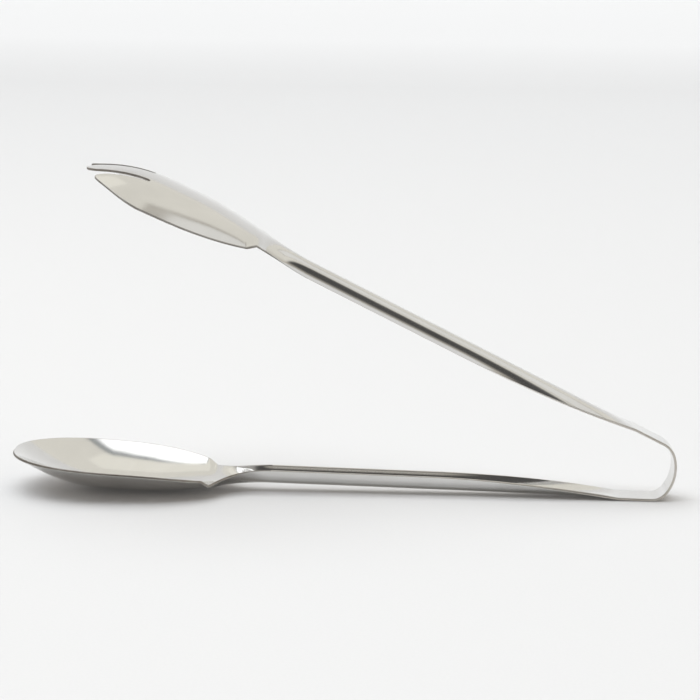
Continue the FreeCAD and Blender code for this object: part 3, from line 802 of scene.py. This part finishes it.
FLOOR_HALF = 6                    # metres from the middle to each side
SWEEP_START, SWEEP_BEND = 2.4, 0.35
across = np.linspace(-FLOOR_HALF, FLOOR_HALF, 13)
travel = np.linspace(-FLOOR_HALF, FLOOR_HALF, 97)
level = SWEEP_BEND * np.maximum(travel - SWEEP_START, 0) ** 2
floor_grid = np.stack(np.broadcast_arrays(across[None, :], travel[:, None], level[:, None]), -1)
floor = stage_piece("floor", floor_grid)
paper = bpy.data.materials.new("floor_paper")
paper.use_nodes = True
tree = paper.node_tree
tree.nodes["Principled BSDF"].inputs["Roughness"].default_value = 0.75
where = node(tree, "ShaderNodeTexCoord", (-900, 0))
grain = node(tree, "ShaderNodeTexNoise", (-700, 0), Scale=900.0, Detail=4.0)
shade = node(tree, "ShaderNodeValToRGB", (-480, 0))
set_stops(shade, [(0.0, (0.617, 0.594, 0.580)), (1.0, (0.647, 0.623, 0.608))])
height = node(tree, "ShaderNodeSeparateXYZ", (-700, -260))
painted_glow_ramp = node(tree, "ShaderNodeValToRGB", (-480, -260))
# Painted light: the paper glows, faintly at the table and more the higher it stands, so the backdrop looks
# lighter than the floor.
GLOW_AT_HEIGHT = ((0.0, 0.03), (0.06, 0.19), (0.22, 0.32), (0.5, 0.37), (1.0, 0.37))
set_stops(painted_glow_ramp, [(metres, (amount, amount, amount)) for metres, amount in GLOW_AT_HEIGHT])
tree.nodes["Principled BSDF"].inputs["Emission Color"].default_value = (0.98, 0.99, 1.0, 1)
join(tree, where.outputs["Object"], grain.inputs["Vector"])
join(tree, grain.outputs[0], shade.inputs[0])
join(tree, shade.outputs[0], tree.nodes["Principled BSDF"].inputs["Base Color"])
join(tree, where.outputs["Object"], height.inputs[0])
join(tree, height.outputs["Z"], painted_glow_ramp.inputs[0])
join(tree, painted_glow_ramp.outputs[0], tree.nodes["Principled BSDF"].inputs["Emission Strength"])
floor.data.materials.append(paper)

# %% [markdown]
# ## Light
# Polished steel shows its surroundings, so the studio is planned by what it looks like in the steel.
# It is a pale tent round the table: light walls on the right and behind, a dimmer wall on the left,
# and a dark opening where the camera looks in, which draws the dark line along both stems. A
# white softbox with a dark rim hangs overhead. A very soft sun that the steel does not mirror lifts
# the floor and gives the faint shadow under the tongs.

# %% The tent: a world that is lighter and darker by compass direction
def tent(name, horizon, stops):
    """World whose colour is a ramp over azimuth, atan2(x, -y) / 2 pi + 1/2, and pale near the horizon."""
    world = bpy.data.worlds.new(name)
    world.use_nodes = True
    tree = world.node_tree
    direction = node(tree, "ShaderNodeTexCoord", (-1100, 0))
    split = node(tree, "ShaderNodeSeparateXYZ", (-920, 0))
    front = node(tree, "ShaderNodeMath", (-740, -80), operation="MULTIPLY")
    front.inputs[1].default_value = -1.0
    azimuth = node(tree, "ShaderNodeMath", (-560, 0), operation="ARCTAN2")
    share = node(tree, "ShaderNodeMath", (-380, 0), operation="MULTIPLY_ADD")
    share.inputs[1].default_value, share.inputs[2].default_value = 1 / (2 * math.pi), 0.5
    walls = node(tree, "ShaderNodeValToRGB", (-200, 0))
    walls.color_ramp.interpolation = "EASE"
    rising = node(tree, "ShaderNodeMapRange", (-200, -260))
    rising.inputs["From Min"].default_value, rising.inputs["From Max"].default_value = 0.0, 0.30
    wall = node(tree, "ShaderNodeMix", (60, 0), data_type="RGBA")
    wall.inputs["A"].default_value = (*horizon, 1)
    set_stops(walls, [(degrees / 360 + 0.5, colour) for degrees, colour in stops])
    join(tree, direction.outputs["Generated"], split.inputs[0])
    join(tree, split.outputs["Y"], front.inputs[0])
    join(tree, split.outputs["X"], azimuth.inputs[0])
    join(tree, front.outputs[0], azimuth.inputs[1])
    join(tree, azimuth.outputs[0], share.inputs[0])
    join(tree, share.outputs[0], walls.inputs[0])
    join(tree, split.outputs["Z"], rising.inputs["Value"])
    join(tree, rising.outputs[0], wall.inputs["Factor"])
    join(tree, walls.outputs[0], wall.inputs["B"])
    join(tree, wall.outputs["Result"], tree.nodes["Background"].inputs["Color"])
    return world


HORIZON = (0.62, 0.585, 0.515)
LIGHT_WALL, DIM_WALL, OPENING_DARK = (0.87, 0.845, 0.775), (0.42, 0.41, 0.39), (0.088, 0.086, 0.084)
bpy.context.scene.world = tent("pale_tent", HORIZON, [
    (-180, LIGHT_WALL), (-128, LIGHT_WALL), (-110, DIM_WALL), (-30, DIM_WALL), (-12, OPENING_DARK),
    (36, OPENING_DARK), (52, LIGHT_WALL), (180, LIGHT_WALL)])
print("tent walls made")


# %% Softbox and sun
def aimed(thing, place, target, upwards):
    """Turns a lamp at a place so that it shines at a target: columns are right, up and backwards."""
    towards = np.array(target, float) - np.array(place, float)
    towards /= np.linalg.norm(towards)
    right = np.cross(towards, upwards)
    right /= np.linalg.norm(right)
    thing.matrix_world = placed(right, np.cross(right, towards), -towards, place)


def softbox(name, place, width, depth, radiance, side):
    """Area lamp that looks as bright as the radiance says: power = radiance * pi * area."""
    data = bpy.data.lights.new(name, "AREA")
    data.shape, data.size, data.size_y = "RECTANGLE", width, depth
    data.energy, data.color = radiance * math.pi * width * depth, (1.0, 1.0, 1.0)
    aimed(added(name, data), place, (place[0], place[1], 0), (*side, 0))


OVER = np.array([-0.085, 0.0])    # the cards are planned as seen from the bowls, so they hang over them


def card(name, corners, height, glow):
    """Flat card overhead that only the steel sees: corners are shares of its height."""
    mesh = bpy.data.meshes.new(name)
    places = np.column_stack([np.array(corners) * height + OVER, np.full(len(corners), height)])
    mesh.from_pydata(places.tolist(), [], [list(range(len(corners)))])
    thing = added(name, mesh)
    cloth = bpy.data.materials.new(name + "_cloth")
    cloth.use_nodes = True
    surface = cloth.node_tree.nodes["Principled BSDF"]
    surface.inputs["Base Color"].default_value = (0.02, 0.02, 0.02, 1)
    surface.inputs["Specular IOR Level"].default_value = 0.0
    surface.inputs["Emission Color"].default_value = (*glow, 1)
    surface.inputs["Emission Strength"].default_value = 1.0
    mesh.materials.append(cloth)
    thing.visible_camera = thing.visible_diffuse = thing.visible_shadow = False


BOX_HEIGHT = 1.5
BOX_SIDE, BOX_DEPTH = 0.85, 0.58   # as shares of the height, like the ends and corners below
BOX_RADIANCE = 1.4
near_end, far_end = np.array([0.16, -0.23]), np.array([-0.25, 0.52])
along_box = (far_end - near_end) / np.linalg.norm(far_end - near_end)
into_box = np.array([-along_box[1], along_box[0]])
middle = (near_end + far_end) / 2 + into_box * BOX_DEPTH / 2
softbox("overhead_softbox", (*(middle * BOX_HEIGHT + OVER), BOX_HEIGHT), BOX_DEPTH * BOX_HEIGHT,
        BOX_SIDE * BOX_HEIGHT, BOX_RADIANCE, along_box)
rim_corners = [far_end - 0.02 * into_box + 0.02 * along_box,
               near_end - 0.12 * into_box - 0.02 * along_box,
               near_end + (BOX_DEPTH + 0.02) * into_box - 0.02 * along_box,
               far_end + (BOX_DEPTH + 0.02) * into_box + 0.03 * along_box]
card("softbox_rim", rim_corners, BOX_HEIGHT + 0.02, (0.27, 0.29, 0.30))
card("rear_reflector",
     [(-0.75, 0.60), (-0.30, 0.56), (0.00, 0.26), (0.10, 0.55), (-0.05, 0.85), (-0.75, 0.95)],
     BOX_HEIGHT + 0.01, (0.99, 0.965, 0.88))
card("side_panel", [(0.40, -0.30), (0.42, 0.16), (0.70, 0.48), (1.40, 0.50), (1.30, -0.30)],
     BOX_HEIGHT, (0.88, 0.87, 0.84))
card("side_panel_rim", [(0.30, -0.34), (0.33, 0.16), (0.68, 0.535), (1.45, 0.555), (1.35, -0.34)],
     BOX_HEIGHT + 0.02, (0.50, 0.47, 0.42))
sun_data = bpy.data.lights.new("soft_sun", "SUN")
sun_data.energy, sun_data.angle, sun_data.color = 2.5, math.radians(75), (0.82, 0.91, 1.0)
sun = added("soft_sun", sun_data)
aimed(sun, (-0.5, 0.2, 2.0), (0, 0, 0), (0, 1, 0))
sun.visible_glossy = False
bpy.context.scene.view_settings.view_transform = "Standard"
box_sides = round(BOX_DEPTH * BOX_HEIGHT, 2), round(BOX_SIDE * BOX_HEIGHT, 2)
print("softbox", *box_sides, "m at", BOX_HEIGHT, "m")
